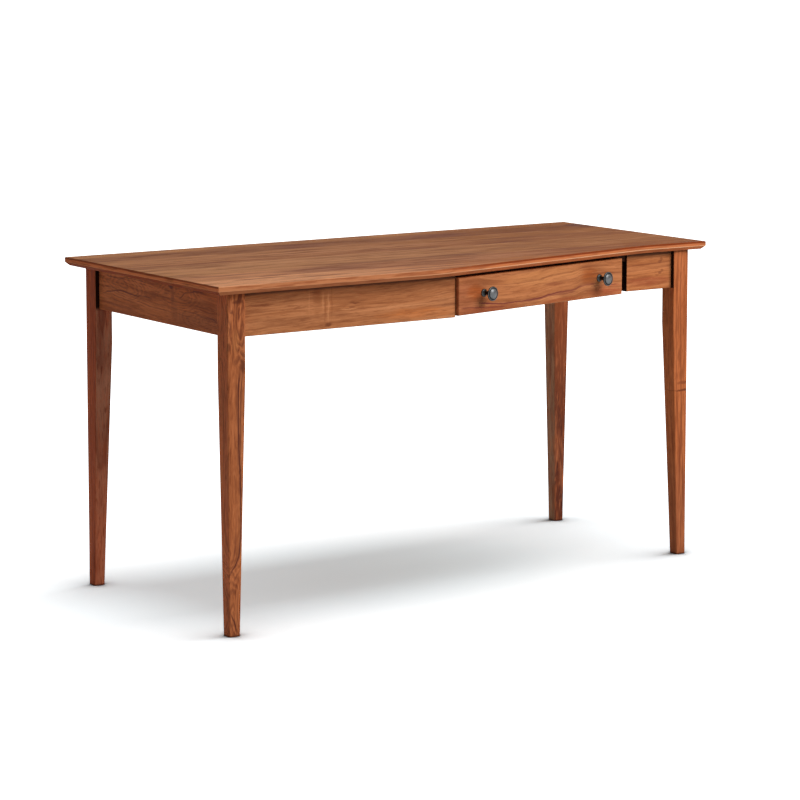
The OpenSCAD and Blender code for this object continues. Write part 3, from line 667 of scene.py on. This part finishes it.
dress("drawer_front", wood(
    "drawer front", axes="XZY", tone=(184, 113, 69), seed=84.0, pith=(0.0, 0.0), skew=math.tan(SLANT),
    flow=on_front(FRONT_FLOW), rings=0.0055, lines=0.25, fine=0.5, heart=0.35, vein_tone=(112, 50, 46),
    veins=[(on_front(FRONT_FLOW[1:-1]), 0.0034, 1.0),
           (on_front([(0.2, 0.0125), (0.26, 0.0145), (0.31, 0.019), (0.36, 0.02), (0.4, 0.023)]), 0.003, 0.6),
           (on_front([(0.0, 0.018), (0.05, 0.014), (0.11, 0.01), (0.16, 0.008)]), 0.0025, 0.6),
           (on_front([(0.44, 0.027), (0.48, 0.0285), (0.52, 0.026), (0.55, 0.0275)]), 0.0025, 0.6)],
    washes=[((0.02, 0.657), (0.13, 0.012), (160, 78, 50), 0.8),
            ((0.42, 0.664), (0.09, 0.018), (172, 84, 54), 0.8),
            ((0.2, 0.715), (0.17, 0.026), (208, 136, 84), 0.8),
            ((-0.06, 0.69), (0.1, 0.055), (168, 94, 64), 0.65),
            # The two small orange patches just left of the knobs are painted shadows of the knobs.
            ((-0.024, 0.6985), (0.036, 0.024), (172, 84, 36), 0.8),
            ((0.356, 0.7035), (0.038, 0.026), (172, 86, 36), 0.8)],
    spots=[((0.235, 0.695), (0.035, 0.006), (148, 82, 54), 0.6),
           ((0.26, 0.656), (0.1, 0.006), (156, 76, 46), 0.5)]))


# Behind the front is a plain box of pale wood: two sides housed in the front, a back between them, and a thin
# bottom that slides in grooves and is screwed to the back.
for number, node in enumerate(("drawer_side_left", "drawer_side_right", "drawer_back", "drawer_bottom")):
    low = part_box(node)[0]
    axes = {"drawer_back": "XZY", "drawer_bottom": "XYZ"}.get(node, "YZX")
    dress(node, wood(node.replace("_", " "), axes=axes, tone=PALE_WOOD, seed=91.0 + 1.7 * number,
                     pith=(low.y - 0.1, low.x - 0.05), rings=0.003, heart=0.1, gloss=0.55))


# Two turned knobs of dark pewter: a round foot on the wood, a narrow neck, and a wide head with a raised dome
# inside a rim. They are rubbed bright on the dome and the rim, and dark in the groove and about the neck.
KNOB_RADIUS = 0.0165
KNOB_REACH = 0.033
FOOT_RADIUS = 0.009
NECK_RADIUS = 0.0044
DOME_RADIUS = 0.0125
DOME_HEIGHT = 0.004
RIM_HEIGHT = KNOB_REACH - DOME_HEIGHT
RIM_ROUND = 0.0018
RIM_DEGREES = range(-60, 91, 10)
DOME_STEPS = 12
STEPS_ROUND = 96
SHARP_TURN = math.radians(35)
PEWTER = (62, 63, 63)
RUBBED_PEWTER = (94, 95, 96)
GROOVE_BLACK = (20, 20, 20)
RIM_SHADE_PAINT = (26, 25, 25)
NECK_DARK = (30, 31, 30)


def knob_outline():
    """The knob's half section from the foot to the tip, as radius and height."""
    ball = (DOME_RADIUS ** 2 + DOME_HEIGHT ** 2) / (2 * DOME_HEIGHT)
    dome_turn = math.asin(DOME_RADIUS / ball) / DOME_STEPS
    foot = [(0.0, 0.0), (FOOT_RADIUS, 0.0), (FOOT_RADIUS, 0.0016), (FOOT_RADIUS - 0.0004, 0.0024),
            (FOOT_RADIUS - 0.0013, 0.003), (NECK_RADIUS + 0.0014, 0.0046), (NECK_RADIUS + 0.0003, 0.006),
            (NECK_RADIUS, 0.008), (NECK_RADIUS, RIM_HEIGHT - 0.011),
            (NECK_RADIUS + 0.0004, RIM_HEIGHT - 0.0093), (NECK_RADIUS + 0.0016, RIM_HEIGHT - 0.008),
            (DOME_RADIUS - 0.003, RIM_HEIGHT - 0.0052), (KNOB_RADIUS - 0.0022, RIM_HEIGHT - 0.0038)]
    turns = [math.radians(degrees) for degrees in RIM_DEGREES]
    rim = [(KNOB_RADIUS - RIM_ROUND + RIM_ROUND * math.cos(turn),
            RIM_HEIGHT - RIM_ROUND + RIM_ROUND * math.sin(turn)) for turn in turns]
    groove = [(DOME_RADIUS + 0.0013, RIM_HEIGHT - 0.0003), (DOME_RADIUS + 0.0008, RIM_HEIGHT - 0.001),
              (DOME_RADIUS + 0.0002, RIM_HEIGHT - 0.0008)]
    dome = [(ball * math.sin(dome_turn * step), KNOB_REACH - ball * (1 - math.cos(dome_turn * step)))
            for step in range(DOME_STEPS, -1, -1)]
    return foot + rim + groove + dome


def turned(name, outline, foot, axis):
    """A lathe-turned piece: its outline of radius and height goes round the axis that starts at foot."""
    shape = bmesh.new()
    rings = []
    for radius, height in outline:
        angles = [2 * math.pi * step / STEPS_ROUND for step in range(STEPS_ROUND if radius else 1)]
        rings.append([shape.verts.new((radius * math.cos(angle), radius * math.sin(angle), height))
                      for angle in angles])
    for lower, upper in zip(rings, rings[1:]):
        for step in range(STEPS_ROUND):
            corners = [lower[step % len(lower)], lower[(step + 1) % len(lower)],
                       upper[(step + 1) % len(upper)], upper[step % len(upper)]]
            shape.faces.new(list(dict.fromkeys(corners)))
    for face in shape.faces:
        face.smooth = True
    mesh = bpy.data.meshes.new(name)
    shape.to_mesh(mesh)
    shape.free()
    mesh.transform(Vector((0, 0, 1)).rotation_difference(Vector(axis)).to_matrix().to_4x4())
    for vertex in mesh.vertices:
        vertex.co += Vector(foot)
    mesh.set_sharp_from_angle(angle=SHARP_TURN)
    piece = bpy.data.objects.new(name, mesh)
    bpy.context.scene.collection.objects.link(piece)
    return piece


def pewter(name, foot, axis):
    """Dark pewter with its wear worked out from the height and the radius on the knob."""
    m = Finish(bpy.data.materials.new(name))
    at = m.node("TexCoord", {}, {}, "Object")
    off = m.node("VectorMath", {"operation": "SUBTRACT"}, {0: at, 1: foot})
    height = m.node("VectorMath", {"operation": "DOT_PRODUCT"}, {0: off, 1: axis}, "Value")
    size = m.node("VectorMath", {"operation": "LENGTH"}, {0: off}, "Value")
    radius = (size ** 2 - height ** 2) ** 0.5
    speck = m.specks(count=420.0, seed=3.0, detail=4.0, roughness=0.6)
    smear = m.specks(count=130.0, seed=5.0, detail=2.0)
    rubbed = m.rise(height, RIM_HEIGHT - 0.002, RIM_HEIGHT + 0.002) * m.rise(smear, 0.2, 0.6)
    at_top = m.rise(height, RIM_HEIGHT - 0.003, RIM_HEIGHT - 0.001)
    groove = m.near(radius, DOME_RADIUS + 0.0002, 0.0024) * at_top
    below_top = m.rise(height, RIM_HEIGHT, RIM_HEIGHT - 0.001)
    # The outer side of the rim is painted dark as painted shade.
    painted_rim_shade = m.rise(radius, KNOB_RADIUS - 0.0012, KNOB_RADIUS - 0.0003) * below_top
    neck = m.rise(height, RIM_HEIGHT - 0.003, RIM_HEIGHT - 0.01) * m.rise(height, 0.002, 0.005)
    colour = m.coats(paint(PEWTER), [(rubbed, paint(RUBBED_PEWTER)), (groove, paint(GROOVE_BLACK)),
                                     (painted_rim_shade * 0.8, paint(RIM_SHADE_PAINT)), (neck * 0.85, paint(NECK_DARK))])
    bump = m.node("Bump", {}, {"Strength": 0.25, "Distance": 0.0002, "Height": speck}, "Normal")
    return m.surface({"Metallic": 1.0},
                     {"Base Color": colour, "Roughness": speck * 0.2 + 0.24, "Normal": bump})


for side in ("left", "right"):
    node = "knob_" + side
    low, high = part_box(node)
    axis = (math.sin(SLANT), -math.cos(SLANT), 0.0)
    foot = ((low.x + high.x) / 2 - (RIM_HEIGHT - RIM_ROUND) * math.sin(SLANT),
            high.y - FOOT_RADIUS * math.sin(SLANT), (low.z + high.z) / 2)
    knob = turned("turned_knob_" + side, knob_outline(), foot, axis)
    knob.data.materials.append(pewter("pewter " + side, foot, axis))
    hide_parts(node)
    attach(knob, "drawer")


# The floor is a white sheet that runs out of sight. Near the desk it is lit from above and takes the desk's
# soft shadow, and everywhere else it shows as plain white. Round the feet its colour is darkened by ambient
# occlusion as a painted contact shadow, and where it is seen it is painted a little cool, most beneath the
# desk, to take out the warm light that the wood bounces onto it.
FLOOR_SIZE = 240.0
FLOOR_COLOUR = [0.82, 0.86, 0.875, 1.0]
SEEN_WHITE = 1.6
SEEN_COLOUR = [1.52, 1.6, 1.64, 1.0]
BENEATH_COLOUR = [1.41, 1.6, 1.69, 1.0]
BENEATH = (-0.25, 0.07)
BENEATH_REACH = (0.85, 0.45)
FLOOR_REACH = 4.5
FOOT_SHADE_REACH = 0.3
FULL_WHITE = 1.71
ROOM_LIGHT = 0.225
OVERHEAD = (1.92, -0.2, 2.81)
OVERHEAD_SIZE = (6.2, 1.8)
OVERHEAD_LEVEL = 1.59
BLACK = [0.0, 0.0, 0.0, 1.0]


def white_where_seen(m):
    """1 for what the camera sees straight, in a reflection or through glass."""
    return m.most(*m.node("LightPath", {}, {}, ("Is Camera Ray", "Is Glossy Ray", "Is Transmission Ray")))


def overhead_light(across, back):
    """The light that the open floor gets from the overhead lamp, this far to the right and back of it."""
    half_width, half_depth = OVERHEAD_SIZE[0] / 2, OVERHEAD_SIZE[1] / 2
    total = 0.0
    for side, x in ((1, across + half_width), (-1, across - half_width)):
        for end, y in ((1, back + half_depth), (-1, back - half_depth)):
            from_x = (x ** 2 + OVERHEAD[2] ** 2) ** 0.5
            from_y = (y ** 2 + OVERHEAD[2] ** 2) ** 0.5
            across_part = x / from_x * x.math("ARCTANGENT", y / from_x)
            back_part = y / from_y * y.math("ARCTANGENT", x / from_y)
            total = (across_part + back_part) * (side * end) + total
    return total * (OVERHEAD_LEVEL * OVERHEAD[2] ** 2 / (2 * OVERHEAD_SIZE[0] * OVERHEAD_SIZE[1]))


ground = Finish(bpy.data.materials.new("white floor"))
ground_place = ground.place()
lit = ground.blob(ground_place["X"], ground_place["Y"], (0.0, 0.0), (FLOOR_REACH, FLOOR_REACH))
open_sky = ground.node("AmbientOcclusion", {"samples": 8}, {"Distance": FOOT_SHADE_REACH}, "AO")
# Round the feet ambient occlusion darkens the floor: a painted contact shadow.
painted_foot_shadow = ground.node("MapRange", {}, {"Value": open_sky, "From Min": 0.5, "From Max": 0.99, "To Min": 0.1})
floor_seen = white_where_seen(ground)
# Beneath the desk the floor is painted cooler, to take out the warm light bounced from the wood.
beneath = ground.blob(ground_place["X"], ground_place["Y"], BENEATH, BENEATH_REACH)
floor_colour = ground.mix(FLOOR_COLOUR, ground.mix(SEEN_COLOUR, BENEATH_COLOUR, beneath), floor_seen)
sheet = ground.node("BsdfDiffuse", {}, {"Color": ground.mix(BLACK, floor_colour, lit * painted_foot_shadow)})
lamp_light = overhead_light(ground_place["X"] - OVERHEAD[0], ground_place["Y"] - OVERHEAD[1])
missing_light = FULL_WHITE - lit * (lamp_light + ROOM_LIGHT) * SEEN_WHITE
glow = ground.node("Emission", {}, {"Color": floor_seen * painted_foot_shadow * missing_light})
ground.node("OutputMaterial", {}, {"Surface": ground.node("AddShader", {}, {0: sheet, 1: glow})})
half = FLOOR_SIZE / 2
floor_mesh = bpy.data.meshes.new("floor")
floor_corners = [(-half, -half, 0), (half, -half, 0), (half, half, 0), (-half, half, 0)]
floor_mesh.from_pydata(floor_corners, [], [(0, 1, 2, 3)])
floor_mesh.materials.append(ground.owner)
floor = bpy.data.objects.new("floor", floor_mesh)
bpy.context.scene.collection.objects.link(floor)


# The studio: a large softbox high to the right of the front lights the desk, another above lights the floor,
# and there is an even, faint white light all round.
FRONT_AIM = (0.0, 0.0, 0.5)
FRONT_TURN = math.radians(28)
FRONT_RISE = math.radians(37)
FRONT_DISTANCE = 5.0
FRONT_SIZE = (3.0, 2.4)
FRONT_LEVEL = 0.79


def softbox(name, place, aim, size, level, floor_share):
    """A soft lamp whose light gives a surface that faces it, at the aim, this share of its own colour.
    floor_share is EXCLUDE where the floor doesn't take its light, and INCLUDE where only the floor does."""
    lamp = bpy.data.lights.new(name, "AREA")
    lamp.shape = "RECTANGLE"
    lamp.size, lamp.size_y = size
    way = Vector(aim) - Vector(place)
    lamp.energy = level * (math.pi * way.length) ** 2
    holder = bpy.data.objects.new(name, lamp)
    holder.location = place
    holder.rotation_euler = way.to_track_quat("-Z", "Y").to_euler()
    holder.visible_camera = False
    bpy.context.scene.collection.objects.link(holder)
    linked = bpy.data.collections.new(name)
    linked.objects.link(floor)
    linked.collection_objects[0].light_linking.link_state = floor_share
    holder.light_linking.receiver_collection = linked


front_place = (FRONT_DISTANCE * math.sin(FRONT_TURN) * math.cos(FRONT_RISE),
               -FRONT_DISTANCE * math.cos(FRONT_TURN) * math.cos(FRONT_RISE),
               FRONT_AIM[2] + FRONT_DISTANCE * math.sin(FRONT_RISE))
beneath_overhead = (OVERHEAD[0], OVERHEAD[1], 0.0)
softbox("front softbox", front_place, FRONT_AIM, FRONT_SIZE, FRONT_LEVEL, "EXCLUDE")
softbox("overhead softbox", OVERHEAD, beneath_overhead, OVERHEAD_SIZE, OVERHEAD_LEVEL, "INCLUDE")
world = bpy.data.worlds.new("studio")
bpy.context.scene.world = world
sky = Finish(world)
seen = white_where_seen(sky)
light = sky.node("Background", {}, {"Color": seen * (1 - ROOM_LIGHT) + ROOM_LIGHT})
sky.node("OutputWorld", {}, {"Surface": light})


# The camera stands to the left of the desk and a little above it, far off with a long lens. It looks down a
# little, and a small shift of the lens sets the desk in the middle of the picture.
camera = bpy.data.objects.new("camera", bpy.data.cameras.new("camera"))
camera.data.lens = 133.88
camera.data.sensor_width = 36.0
camera.data.shift_y = -0.15
camera.data.clip_end = 2 * FLOOR_SIZE
camera.location = (-3.8866, -5.6762, 1.5246)
camera.rotation_euler = (math.radians(83.12), 0.0, math.radians(-34.247))
bpy.context.scene.collection.objects.link(camera)
bpy.context.scene.camera = camera
bpy.context.scene.view_settings.view_transform = "Standard"
